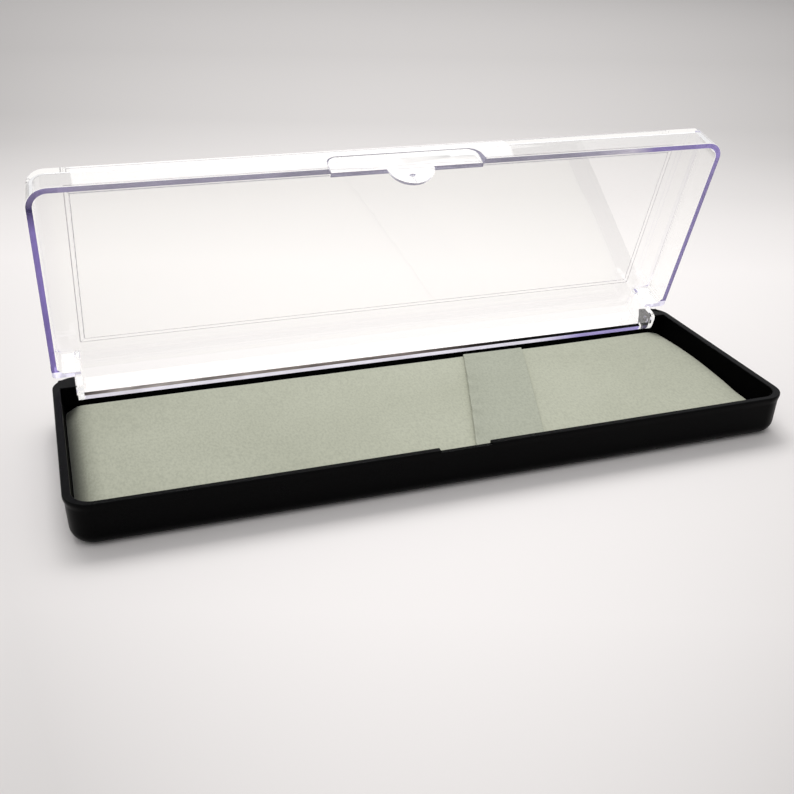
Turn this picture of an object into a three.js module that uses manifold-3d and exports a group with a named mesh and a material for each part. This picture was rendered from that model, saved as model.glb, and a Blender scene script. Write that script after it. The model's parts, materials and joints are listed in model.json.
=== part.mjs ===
// Long hinged presentation case: black tray, clear lid standing open, padded velour insert and a
// slanted retaining band. Millimetres. +X runs along the case, +Y to the hinge side, +Z up.
// The origin is the middle of the flat underside of the tray.
import * as THREE from 'three';
import { mergeVertices } from 'three/addons/utils/BufferGeometryUtils.js';
import Module from 'manifold-3d';

const wasm = await Module();
wasm.setup();

// Overall sizes
const CASE_LENGTH = 175;
const CASE_WIDTH = 62;
const CASE_HEIGHT = 20;
const RIM_Z = 11;
const GAP = 0.3;

// Tray
const LIP_OUT = 0.25;
const LIP_HEIGHT = 1.2;
const TRAY_CORNER = 6.8;
const TRAY_TAPER = 0.037;
const TRAY_FOOT_ROUND = 3.5;
const TRAY_WALL_X = 1.9;
const TRAY_WALL_Y = 1.6;
const FLOOR_Z = 1.3;
const FLOOR_ROUND = 0.6;

// Hinge: the pivot line, the tray's two bearing blocks and the lid's pins
const PIVOT_Y = 26.63;
const PIVOT_Z = 9.42;
const OPEN_ANGLE = THREE.MathUtils.degToRad(72.4);
const BLOCK_X = 81.85;
const BLOCK_Y = 24.9;
const BLOCK_Z = 6;
const PIN_RADIUS = 0.95;
const PIN_CLEARANCE = 0.1;
const PIN_TIP_X = 83.7;
const HOLE_END_X = 84.2;

// Front catch: a tongue on the lid and a thinned notch in the tray's front wall
const TONGUE_RADIUS = 6;
const NOTCH_HALF = TONGUE_RADIUS + GAP;
const NOTCH_Z = 10.35;
const TONGUE_CENTRE_Z = 11.7;
const RELIEF_Z = 4.5;

// Lid
const LID_RIM_Z = RIM_Z + 0.2;
const LID_HALF_X = 87.15;
const LID_HALF_Y = CASE_WIDTH / 2;
const LID_WALL = 1.5;
const LID_CORNER = 5;
const LID_TAPER = 0.05;
const LID_EDGE_ROUND = 0.5;
const LID_REAR_ROUND = 4.3;
// The bar that rounds the rear edge stands this far outside the flat faces, so that it leaves them alone.
const ROUND_SLACK = 0.02;
const CORNER_NOTCH_Y = 23.9;
const EAR_OUTER_X = BLOCK_X - 0.25;
const REAR_SKIRT_Z = 10;
const EAR_FOOT_Z = 6.6;
const EAR_FRONT_Y = 23.3;
const EAR_RADIUS = PIVOT_Z - EAR_FOOT_Z;

// Window frame stepped into the lid's top
const WINDOW_X = 78.4;
const WINDOW_REAR_Y = 20.3;
const WINDOW_FRONT_Y = -25;
const WINDOW_STEP = 1.1;
const WINDOW_DEPTH = 0.3;

// Thumb recess in the lid's front skirt
const THUMB_HALF = 19.5;
const THUMB_TOP_Z = 16.7;
const THUMB_FACE_Y = -CASE_WIDTH / 2 + 0.45;
const THUMB_LEAN = Math.tan(THREE.MathUtils.degToRad(7.5));
const THUMB_WALL = 1.15;
const THUMB_CORNER = 2.6;
const PIP_RADIUS = 0.7;
const PIP_DEPTH = 3.1;

// Insert
const BOARD_THICK = 0.8;
const COVER_THICK = 0.5;
const COVER_TOP_Z = 5;
const COVER_HALF_X = 84.8;
const COVER_HALF_Y = 27.85;
const COVER_CORNER = 4;
const COVER_ROUND = 1.4;
const BAND_THICK = 0.45;
const BAND_WIDTH = 17;
const BAND_CENTRE_X = 22.6;
const BAND_SLANT = THREE.MathUtils.degToRad(18.7);

// ---- helpers ----

function solidOf(geometry) {
  const bare = geometry.clone();
  bare.deleteAttribute('normal');
  bare.deleteAttribute('uv');
  const merged = mergeVertices(bare, 1e-4);
  const mesh = new wasm.Mesh({
    numProp: 3,
    vertProperties: new Float32Array(merged.attributes.position.array),
    triVerts: new Uint32Array(merged.index.array),
  });
  return new wasm.Manifold(mesh);
}

function geometryOf(solid) {
  const mesh = solid.getMesh();
  const geometry = new THREE.BufferGeometry();
  geometry.setAttribute('position', new THREE.BufferAttribute(new Float32Array(mesh.vertProperties), 3));
  geometry.setIndex(new THREE.BufferAttribute(new Uint32Array(mesh.triVerts), 1));
  geometry.computeVertexNormals();
  return geometry;
}

function meshOf(name, solid, look) {
  const mesh = new THREE.Mesh(geometryOf(solid), new THREE.MeshStandardMaterial(look));
  mesh.name = name;
  return mesh;
}

function box(x0, x1, y0, y1, z0, z1) {
  const geometry = new THREE.BoxGeometry(x1 - x0, y1 - y0, z1 - z0);
  geometry.translate((x0 + x1) / 2, (y0 + y1) / 2, (z0 + z1) / 2);
  return solidOf(geometry);
}

function union(solids) {
  return solids.reduce((whole, piece) => whole.add(piece));
}

// A closed outline through corner points, each [x, y, radius], with tangent arcs at the corners.
function roundedOutline(corners) {
  const shape = new THREE.Shape();
  const count = corners.length;
  corners.forEach(([x, y, radius], i) => {
    const before = corners[(i + count - 1) % count];
    const after = corners[(i + 1) % count];
    const here = new THREE.Vector2(x, y);
    const back = new THREE.Vector2(before[0] - x, before[1] - y).normalize();
    const ahead = new THREE.Vector2(after[0] - x, after[1] - y).normalize();
    const start = here.clone().addScaledVector(back, radius);
    const end = here.clone().addScaledVector(ahead, radius);
    if (i === 0) {
      shape.moveTo(start.x, start.y);
    } else {
      shape.lineTo(start.x, start.y);
    }
    if (radius > 0) {
      const centre = start.clone().addScaledVector(ahead, radius);
      const turn = back.x * ahead.y - back.y * ahead.x;
      const from = Math.atan2(start.y - centre.y, start.x - centre.x);
      const to = Math.atan2(end.y - centre.y, end.x - centre.x);
      shape.absarc(centre.x, centre.y, radius, from, to, turn > 0);
    }
  });
  shape.closePath();
  return shape;
}

function roundedRectangle(halfX, y0, y1, radius) {
  return roundedOutline([
    [halfX, y0, radius],
    [halfX, y1, radius],
    [-halfX, y1, radius],
    [-halfX, y0, radius],
  ]);
}

function prism(shape, z0, z1, curveSegments = 8) {
  const geometry = new THREE.ExtrudeGeometry(shape, { depth: z1 - z0, bevelEnabled: false, curveSegments });
  geometry.translate(0, 0, z0);
  return geometry;
}

// An upright prism whose edges at one end or both are rounded by the given radius.
function roundedPrism(shape, z0, z1, round, curveSegments = 8) {
  const geometry = new THREE.ExtrudeGeometry(shape, {
    depth: z1 - z0 - 2 * round,
    bevelEnabled: true,
    bevelThickness: round,
    bevelSize: round,
    bevelOffset: -round,
    bevelSegments: 4,
    curveSegments,
  });
  geometry.translate(0, 0, z0 + round);
  return geometry;
}

// Draws the sides in by `slope` per millimetre of distance from the level `wideZ`.
function taper(geometry, slope, wideZ, halfX, halfY) {
  const position = geometry.attributes.position;
  for (let i = 0; i < position.count; i += 1) {
    const inward = slope * Math.abs(position.getZ(i) - wideZ);
    position.setX(i, position.getX(i) * (1 - inward / halfX));
    position.setY(i, position.getY(i) * (1 - inward / halfY));
  }
  return geometry;
}

// A flat plate cut from an outline drawn in the YZ plane, between two X values.
function sidePlate(shape, x0, x1) {
  const geometry = new THREE.ExtrudeGeometry(shape, { depth: x1 - x0, bevelEnabled: false, curveSegments: 8 });
  const toSide = new THREE.Matrix4().makeBasis(
    new THREE.Vector3(0, 1, 0),
    new THREE.Vector3(0, 0, 1),
    new THREE.Vector3(1, 0, 0),
  );
  geometry.applyMatrix4(toSide);
  geometry.translate(x0, 0, 0);
  return solidOf(geometry);
}

function pivotCylinder(radius, x0, x1) {
  const geometry = new THREE.CylinderGeometry(radius, radius, Math.abs(x1 - x0), 24);
  geometry.rotateZ(Math.PI / 2);
  geometry.translate((x0 + x1) / 2, PIVOT_Y, PIVOT_Z);
  return solidOf(geometry);
}

// ---- tray ----

function trayShell() {
  const halfX = CASE_LENGTH / 2 - LIP_OUT;
  const halfY = CASE_WIDTH / 2 - LIP_OUT;
  const above = RIM_Z + 2 * TRAY_FOOT_ROUND;
  const outline = roundedRectangle(halfX, -halfY, halfY, TRAY_CORNER);
  const bodyGeometry = roundedPrism(outline, 0, above, TRAY_FOOT_ROUND);
  const body = solidOf(taper(bodyGeometry, TRAY_TAPER, RIM_Z, halfX, halfY));
  const lipOutline = roundedRectangle(CASE_LENGTH / 2, -CASE_WIDTH / 2, CASE_WIDTH / 2, TRAY_CORNER);
  const lip = solidOf(prism(lipOutline, RIM_Z - LIP_HEIGHT, RIM_Z));
  const trim = box(-CASE_LENGTH, CASE_LENGTH, -CASE_WIDTH, CASE_WIDTH, RIM_Z, above + 1);
  return body.subtract(trim).add(lip).subtract(trayHollow());
}

function trayHollow() {
  const halfX = CASE_LENGTH / 2 - TRAY_WALL_X;
  const halfY = CASE_WIDTH / 2 - TRAY_WALL_Y;
  const outline = roundedRectangle(halfX, -halfY, halfY, TRAY_CORNER - TRAY_WALL_Y);
  const geometry = roundedPrism(outline, FLOOR_Z, RIM_Z + 2 * FLOOR_ROUND, FLOOR_ROUND);
  return solidOf(taper(geometry, TRAY_TAPER, RIM_Z, halfX, halfY));
}

// Everything on the lid's side of a plane just outside the rear skirt, with the lid fully open.
function openSkirtSide() {
  return box(-BLOCK_X, BLOCK_X, -30, LID_HALF_Y + GAP - PIVOT_Y, -30, 30)
    .rotate([THREE.MathUtils.radToDeg(-OPEN_ANGLE), 0, 0])
    .translate([0, PIVOT_Y, PIVOT_Z]);
}

// The lowered stretch of the rear wall. Its sloping top is the ledge that stops the open lid.
function rearWallCut() {
  const span = box(-BLOCK_X, BLOCK_X, PIVOT_Y, CASE_WIDTH, BLOCK_Z - 1.5, RIM_Z + 1);
  return span.intersect(openSkirtSide());
}

function bearingBlock(side) {
  const inner = side * BLOCK_X;
  const outer = side * (CASE_LENGTH / 2 - TRAY_WALL_X + 0.4);
  const block = box(
    Math.min(inner, outer), Math.max(inner, outer),
    BLOCK_Y, CASE_WIDTH / 2 - TRAY_WALL_Y + 0.4,
    BLOCK_Z, RIM_Z,
  );
  const hole = pivotCylinder(PIN_RADIUS + PIN_CLEARANCE, side * (BLOCK_X - 1), side * HOLE_END_X);
  return { block, hole };
}

function catchNotch() {
  const front = -CASE_WIDTH / 2;
  const top = box(-NOTCH_HALF, NOTCH_HALF, front - 1, front + TRAY_WALL_Y + 1, NOTCH_Z, RIM_Z + 1);
  const reliefOutline = new THREE.Shape();
  reliefOutline.moveTo(-NOTCH_HALF, RELIEF_Z);
  reliefOutline.lineTo(NOTCH_HALF, RELIEF_Z);
  reliefOutline.lineTo(NOTCH_HALF, RIM_Z + 1);
  reliefOutline.lineTo(-NOTCH_HALF, RIM_Z + 1);
  reliefOutline.closePath();
  return top.add(leanedPlate(reliefOutline, THUMB_FACE_Y - GAP, 2));
}

function buildTray() {
  const left = bearingBlock(-1);
  const right = bearingBlock(1);
  const solid = trayShell()
    .subtract(rearWallCut())
    .add(left.block)
    .add(right.block)
    .subtract(left.hole)
    .subtract(right.hole)
    .subtract(catchNotch());
  return meshOf('tray', solid, { color: 0x0b0b0c, roughness: 0.35, metalness: 0 });
}

// ---- lid, drawn closed ----

// The lid's plan: a rectangle whose two rear corners are notched for the bearing blocks.
function lidOutline(inset, cornerRadius, notchRadius) {
  const sideX = LID_HALF_X - inset;
  const frontY = -LID_HALF_Y + inset;
  const notchY = CORNER_NOTCH_Y - inset;
  const earX = EAR_OUTER_X - inset;
  const rearY = LID_HALF_Y - inset;
  return roundedOutline([
    [sideX, frontY, cornerRadius],
    [sideX, notchY, notchRadius],
    [earX, notchY, 0],
    [earX, rearY, 0],
    [-earX, rearY, 0],
    [-earX, notchY, 0],
    [-sideX, notchY, notchRadius],
    [-sideX, frontY, cornerRadius],
  ]);
}

// A long bar whose upper rear edge is rounded and whose rear face leans in as the lid's rear skirt does.
function rearRoundBar(inset, radius) {
  const topZ = CASE_HEIGHT - inset + ROUND_SLACK;
  const rearY = LID_HALF_Y - inset + ROUND_SLACK;
  const shape = roundedOutline([
    [-CASE_WIDTH, -CASE_HEIGHT, 0],
    [rearY + LID_TAPER * (LID_RIM_Z + CASE_HEIGHT), -CASE_HEIGHT, 0],
    [rearY - LID_TAPER * (topZ - LID_RIM_Z), topZ, radius],
    [-CASE_WIDTH, topZ, 0],
  ]);
  const geometry = new THREE.ExtrudeGeometry(shape, {
    depth: 2 * CASE_LENGTH,
    bevelEnabled: false,
    curveSegments: 10,
  });
  const alongX = new THREE.Matrix4().makeBasis(
    new THREE.Vector3(0, 1, 0),
    new THREE.Vector3(0, 0, 1),
    new THREE.Vector3(1, 0, 0),
  );
  geometry.applyMatrix4(alongX);
  geometry.translate(-CASE_LENGTH, 0, 0);
  return solidOf(geometry);
}

function lidShell() {
  const outer = roundedPrism(
    lidOutline(0, LID_CORNER, 1),
    LID_RIM_Z - 2 * LID_EDGE_ROUND, CASE_HEIGHT, LID_EDGE_ROUND,
  );
  const inner = prism(lidOutline(LID_WALL, LID_CORNER - LID_WALL, 1.8), LID_RIM_Z - 4, CASE_HEIGHT - LID_WALL);
  const under = box(-CASE_LENGTH, CASE_LENGTH, -CASE_WIDTH, CASE_WIDTH, LID_RIM_Z - 5, LID_RIM_Z);
  const outerSolid = solidOf(taper(outer, LID_TAPER, LID_RIM_Z, LID_HALF_X, LID_HALF_Y));
  const innerSolid = solidOf(taper(inner, LID_TAPER, LID_RIM_Z, LID_HALF_X, LID_HALF_Y));
  const outerRound = rearRoundBar(0, LID_REAR_ROUND);
  const innerRound = rearRoundBar(LID_WALL, LID_REAR_ROUND - LID_WALL);
  const body = outerSolid.intersect(outerRound).subtract(under);
  return body.subtract(innerSolid.intersect(innerRound));
}

// The shallow sunk window in the lid's top, with sloping sides.
function windowCut() {
  const geometry = new THREE.ExtrudeGeometry(
    roundedRectangle(WINDOW_X - WINDOW_STEP, WINDOW_FRONT_Y + WINDOW_STEP, WINDOW_REAR_Y - WINDOW_STEP, 0.6),
    {
      depth: 1,
      bevelEnabled: true,
      bevelThickness: WINDOW_DEPTH,
      bevelSize: WINDOW_STEP,
      bevelSegments: 1,
      curveSegments: 4,
    },
  );
  geometry.translate(0, 0, CASE_HEIGHT);
  return solidOf(geometry);
}

// A plate outline in the XZ plane, extruded towards +Y and leaned in towards its foot.
function leanedPlate(shape, outerY, thickness) {
  const geometry = new THREE.ExtrudeGeometry(shape, { depth: thickness, bevelEnabled: false, curveSegments: 12 });
  const toFront = new THREE.Matrix4().makeBasis(
    new THREE.Vector3(-1, 0, 0),
    new THREE.Vector3(0, 0, 1),
    new THREE.Vector3(0, 1, 0),
  );
  geometry.applyMatrix4(toFront);
  const position = geometry.attributes.position;
  for (let i = 0; i < position.count; i += 1) {
    const lean = (THUMB_TOP_Z - position.getZ(i)) * THUMB_LEAN;
    position.setY(i, position.getY(i) + outerY + lean);
  }
  return solidOf(geometry);
}

function thumbOutline(grow, footZ) {
  return roundedOutline([
    [THUMB_HALF + grow, footZ, 0],
    [THUMB_HALF + grow, THUMB_TOP_Z + grow, THUMB_CORNER],
    [-THUMB_HALF - grow, THUMB_TOP_Z + grow, THUMB_CORNER],
    [-THUMB_HALF - grow, footZ, 0],
  ]);
}

function tongueOutline() {
  const shape = new THREE.Shape();
  shape.moveTo(-TONGUE_RADIUS, TONGUE_CENTRE_Z + 1);
  shape.lineTo(-TONGUE_RADIUS, TONGUE_CENTRE_Z);
  shape.absarc(0, TONGUE_CENTRE_Z, TONGUE_RADIUS, Math.PI, 2 * Math.PI, false);
  shape.lineTo(TONGUE_RADIUS, TONGUE_CENTRE_Z + 1);
  shape.closePath();
  return shape;
}

function catchPip() {
  const pipZ = LID_RIM_Z - PIP_DEPTH;
  const lean = (THUMB_TOP_Z - pipZ) * THUMB_LEAN;
  const geometry = new THREE.SphereGeometry(PIP_RADIUS, 16, 10);
  geometry.translate(0, THUMB_FACE_Y + lean + PIP_RADIUS - 0.25, pipZ);
  return solidOf(geometry);
}

// The recess replaces part of the front skirt by a thinner plate set back from it.
function withThumbRecess(shell) {
  const air = leanedPlate(thumbOutline(0, LID_RIM_Z - 3), THUMB_FACE_Y - 3, 3);
  const backing = leanedPlate(thumbOutline(LID_WALL, LID_RIM_Z), THUMB_FACE_Y, THUMB_WALL);
  const tongue = leanedPlate(tongueOutline(), THUMB_FACE_Y, THUMB_WALL);
  return shell.subtract(air).add(backing).add(tongue).add(catchPip());
}

function earOutline() {
  const shape = new THREE.Shape();
  shape.moveTo(EAR_FRONT_Y, LID_RIM_Z + 0.5);
  shape.lineTo(EAR_FRONT_Y, EAR_FOOT_Z + 1);
  shape.absarc(EAR_FRONT_Y + 1, EAR_FOOT_Z + 1, 1, Math.PI, 1.5 * Math.PI, false);
  shape.absarc(PIVOT_Y, PIVOT_Z, EAR_RADIUS, -Math.PI / 2, -Math.PI / 9, false);
  shape.lineTo(LID_HALF_Y, REAR_SKIRT_Z);
  shape.lineTo(LID_HALF_Y, LID_RIM_Z + 0.5);
  shape.closePath();
  return shape;
}

function buildLid() {
  const rearEdge = box(
    -EAR_OUTER_X, EAR_OUTER_X,
    LID_HALF_Y - LID_WALL, LID_HALF_Y,
    REAR_SKIRT_Z, LID_RIM_Z + 0.2,
  );
  const earInner = EAR_OUTER_X - LID_WALL;
  const solid = withThumbRecess(lidShell()).subtract(windowCut());
  const pieces = [
    solid,
    rearEdge,
    sidePlate(earOutline(), earInner, EAR_OUTER_X),
    sidePlate(earOutline(), -EAR_OUTER_X, -earInner),
    pivotCylinder(PIN_RADIUS, EAR_OUTER_X - 0.5, PIN_TIP_X),
    pivotCylinder(PIN_RADIUS, -PIN_TIP_X, -EAR_OUTER_X + 0.5),
  ];
  const closed = union(pieces).translate([0, -PIVOT_Y, -PIVOT_Z]);
  return meshOf('lid', closed, {
    color: 0xf0eef4,
    roughness: 0.05,
    metalness: 0,
    transparent: true,
    opacity: 0.3,
  });
}

// ---- insert ----

const BOARD_Z = FLOOR_Z + GAP;
const FOAM_Z = BOARD_Z + BOARD_THICK + GAP;
const BAND_FOOT_Z = FLOOR_Z + 0.6;

function buildBoard() {
  const inset = COVER_THICK + GAP;
  const halfY = COVER_HALF_Y - inset;
  const outline = roundedRectangle(COVER_HALF_X - inset, -halfY, halfY, COVER_CORNER - inset);
  const solid = solidOf(prism(outline, BOARD_Z, BOARD_Z + BOARD_THICK));
  return meshOf('insert_board', solid, { color: 0x8f8a80, roughness: 0.9, metalness: 0 });
}

function buildFoam() {
  const inset = COVER_THICK + GAP;
  const halfY = COVER_HALF_Y - inset;
  const outline = roundedRectangle(COVER_HALF_X - inset, -halfY, halfY, COVER_CORNER - inset);
  const solid = solidOf(prism(outline, FOAM_Z, COVER_TOP_Z - inset));
  return meshOf('insert_foam', solid, { color: 0xd8d8d2, roughness: 1, metalness: 0 });
}

// The velour turns down over the foam and the board and stays open underneath.
function buildCover() {
  const outer = roundedRectangle(COVER_HALF_X, -COVER_HALF_Y, COVER_HALF_Y, COVER_CORNER);
  const innerX = COVER_HALF_X - COVER_THICK;
  const innerY = COVER_HALF_Y - COVER_THICK;
  const inner = roundedRectangle(innerX, -innerY, innerY, COVER_CORNER - COVER_THICK);
  const block = solidOf(roundedPrism(outer, BOARD_Z - 2 * COVER_ROUND, COVER_TOP_Z, COVER_ROUND));
  const hollow = solidOf(prism(inner, BOARD_Z - 3 * COVER_ROUND, COVER_TOP_Z - COVER_THICK));
  const under = box(-CASE_LENGTH, CASE_LENGTH, -CASE_WIDTH, CASE_WIDTH, BOARD_Z - 9, BOARD_Z);
  const solid = block.subtract(under).subtract(hollow);
  return meshOf('insert_cover', solid, { color: 0xaab0a0, roughness: 1, metalness: 0 });
}

// The insert's end-on outline, grown outwards by `grow`.
function bandProfile(grow, footZ) {
  const halfY = COVER_HALF_Y + grow;
  const radius = COVER_ROUND + grow;
  return roundedOutline([
    [halfY, footZ, 0],
    [halfY, COVER_TOP_Z + grow, radius],
    [-halfY, COVER_TOP_Z + grow, radius],
    [-halfY, footZ, 0],
  ]);
}

// The band crosses the insert at a slant and turns down over its front and rear edges.
function buildBand() {
  const far = CASE_LENGTH / 2;
  const over = sidePlate(bandProfile(GAP + BAND_THICK, BAND_FOOT_Z - 8), -far, far);
  const under = sidePlate(bandProfile(GAP, BAND_FOOT_Z - 9), -far, far);
  const lean = Math.tan(BAND_SLANT) * CASE_WIDTH;
  const half = BAND_WIDTH / 2 / Math.cos(BAND_SLANT);
  const plan = new THREE.Shape();
  plan.moveTo(BAND_CENTRE_X - lean - half, -CASE_WIDTH);
  plan.lineTo(BAND_CENTRE_X - lean + half, -CASE_WIDTH);
  plan.lineTo(BAND_CENTRE_X + lean + half, CASE_WIDTH);
  plan.lineTo(BAND_CENTRE_X + lean - half, CASE_WIDTH);
  plan.closePath();
  const strip = solidOf(prism(plan, BAND_FOOT_Z, RIM_Z));
  const solid = over.subtract(under).intersect(strip);
  return meshOf('band', solid, { color: 0xa3a898, roughness: 1, metalness: 0 });
}

// ---- assembly ----

const presentationCase = new THREE.Group();
presentationCase.add(buildTray());
presentationCase.add(buildBoard());
presentationCase.add(buildFoam());
presentationCase.add(buildCover());
presentationCase.add(buildBand());

const hinge = new THREE.Group();
hinge.position.set(0, PIVOT_Y, PIVOT_Z);
hinge.rotation.x = -OPEN_ANGLE;
hinge.add(buildLid());
presentationCase.add(hinge);

export default presentationCase;
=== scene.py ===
"""Slim hinged display case, standing open: black tray, clear lid, padded velour insert and band."""

import json
import math

import bmesh
import bpy
from mathutils import Matrix, Vector, noise
from mathutils.bvhtree import BVHTree


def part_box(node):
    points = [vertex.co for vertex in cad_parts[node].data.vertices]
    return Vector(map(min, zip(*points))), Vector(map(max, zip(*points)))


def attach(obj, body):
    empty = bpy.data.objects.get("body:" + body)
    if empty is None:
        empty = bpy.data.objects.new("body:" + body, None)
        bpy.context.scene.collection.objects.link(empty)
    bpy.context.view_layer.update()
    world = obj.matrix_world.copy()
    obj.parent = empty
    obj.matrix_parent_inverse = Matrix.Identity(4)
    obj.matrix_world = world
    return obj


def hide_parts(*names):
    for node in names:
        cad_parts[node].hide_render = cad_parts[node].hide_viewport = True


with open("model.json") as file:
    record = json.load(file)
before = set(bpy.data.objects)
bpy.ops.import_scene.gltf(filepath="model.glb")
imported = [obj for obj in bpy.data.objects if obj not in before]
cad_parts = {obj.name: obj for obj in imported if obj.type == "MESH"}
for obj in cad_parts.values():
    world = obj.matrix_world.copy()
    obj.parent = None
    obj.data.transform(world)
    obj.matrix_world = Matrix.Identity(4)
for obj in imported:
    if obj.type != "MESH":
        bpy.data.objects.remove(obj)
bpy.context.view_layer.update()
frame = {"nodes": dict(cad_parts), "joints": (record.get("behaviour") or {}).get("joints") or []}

MM = 0.001
CASE = "case"
LID_BODY = "lid_body"
HINGE = frame["joints"][0]
PIVOT_Y = HINGE["pos_m"][1] / MM
PIVOT_Z = HINGE["pos_m"][2] / MM
OPEN_DEG = HINGE["range_deg"][1]


def box_mm(node):
    low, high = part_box(node)
    return low / MM, high / MM


TRAY_LOW, TRAY_HIGH = box_mm("tray")
HALF_X = TRAY_HIGH.x
HALF_Y = -TRAY_LOW.y
RIM_Z = TRAY_HIGH.z
CASE_LENGTH = 175.0
CASE_HALF_WIDTH = 31.0

# ---------------------------------------------------------------- mesh helpers


def outline(corners, arc=12, straight=1):
    """Points of a closed outline through corners (x, y, radius) with right angles, as a list of (x, y).

    arc is the number of steps in each corner, and straight the number in each side.
    """
    count = len(corners)
    points = []
    for i, (x, y, radius) in enumerate(corners):
        here = Vector((x, y))
        back = (Vector(corners[i - 1][:2]) - here).normalized()
        ahead = (Vector(corners[(i + 1) % count][:2]) - here).normalized()
        start = here + back * radius
        centre = start + ahead * radius
        first = math.atan2(*(start - centre).yx)
        turn = math.copysign(math.pi / 2, ahead.x * back.y - ahead.y * back.x)
        for k in range(arc + 1):
            a = first + turn * k / arc
            points.append(centre + radius * Vector((math.cos(a), math.sin(a))))
        next_x, next_y, next_radius = corners[(i + 1) % count]
        stop = Vector((next_x, next_y)) - ahead * next_radius
        last = points[-1]
        for k in range(1, straight):
            points.append(last.lerp(stop, k / straight))
    return [(p.x, p.y) for p in points]


def rounded_rect(half_x, y0, y1, radius, arc=12, straight=1):
    corners = [(half_x, y0, radius), (half_x, y1, radius), (-half_x, y1, radius), (-half_x, y0, radius)]
    return outline(corners, arc, straight)


def mesh_object(name, verts, faces):
    mesh = bpy.data.meshes.new(name)
    mesh.from_pydata([tuple(c * MM for c in v) for v in verts], [], faces)
    mesh.validate()
    obj = bpy.data.objects.new(name, mesh)
    bpy.context.scene.collection.objects.link(obj)
    return obj


def fix_normals(obj):
    bm = bmesh.new()
    bm.from_mesh(obj.data)
    bmesh.ops.recalc_face_normals(bm, faces=bm.faces)
    bm.to_mesh(obj.data)
    bm.free()
    return obj


def loft(name, rings):
    """A closed solid through rings of equal length, with a flat cap at each end."""
    verts = [p for ring in rings for p in ring]
    n = len(rings[0])
    faces = [list(range(n))[::-1], [len(verts) - n + i for i in range(n)]]
    for r in range(len(rings) - 1):
        for i in range(n):
            j = (i + 1) % n
            faces.append([r * n + i, r * n + j, (r + 1) * n + j, (r + 1) * n + i])
    return fix_normals(mesh_object(name, verts, faces))


def ring(points, z):
    return [(x, y, z) for x, y in points]


def box_object(name, x0, x1, y0, y1, z0, z1):
    return loft(name, [ring([(x0, y0), (x1, y0), (x1, y1), (x0, y1)], z) for z in (z0, z1)])


def cylinder_x(name, radius, x0, x1, y, z, round_end=0.0, segments=32):
    """A cylinder along X whose far end may be slightly rounded."""
    steps = [(x0, radius), (x1 - math.copysign(round_end, x1 - x0), radius)]
    if round_end:
        steps.append((x1, radius - round_end))
    rings = []
    for x, r in steps:
        circle = [2 * math.pi * k / segments for k in range(segments)]
        rings.append([(x, y + r * math.cos(a), z + r * math.sin(a)) for a in circle])
    return loft(name, rings)


def apply_all(obj):
    graph = bpy.context.evaluated_depsgraph_get()
    mesh = bpy.data.meshes.new_from_object(obj.evaluated_get(graph))
    obj.modifiers.clear()
    obj.data = mesh
    return obj


def boolean(obj, other, operation):
    mod = obj.modifiers.new("cut", "BOOLEAN")
    mod.operation = operation
    mod.object = other
    mod.solver = "EXACT"
    apply_all(obj)
    bpy.data.objects.remove(other)
    return obj


def cut(obj, other):
    return boolean(obj, other, "DIFFERENCE")


def join(obj, other):
    return boolean(obj, other, "UNION")


def tidy(obj):
    """Welds the slivers that a boolean leaves."""
    distance = 0.004
    bm = bmesh.new()
    bm.from_mesh(obj.data)
    bmesh.ops.remove_doubles(bm, verts=bm.verts, dist=distance * MM)
    bmesh.ops.dissolve_degenerate(bm, dist=distance * MM, edges=bm.edges)
    bm.to_mesh(obj.data)
    bm.free()
    return obj


def soften(obj, angle=32, weighted=True):
    """Smooth shading that stays crisp where faces meet at more than angle, in degrees."""
    mesh = obj.data
    mesh.polygons.foreach_set("use_smooth", [True] * len(mesh.polygons))
    mesh.set_sharp_from_angle(angle=math.radians(angle))
    if weighted:
        mod = obj.modifiers.new("normals", "WEIGHTED_NORMAL")
        mod.keep_sharp = True
        mod.weight = 80
    return obj


def move_vertices(obj, function):
    """Moves each vertex to function(place), in millimetres."""
    for v in obj.data.vertices:
        v.co = function(v.co / MM) * MM
    return obj


# ---------------------------------------------------------------- node helpers


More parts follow.
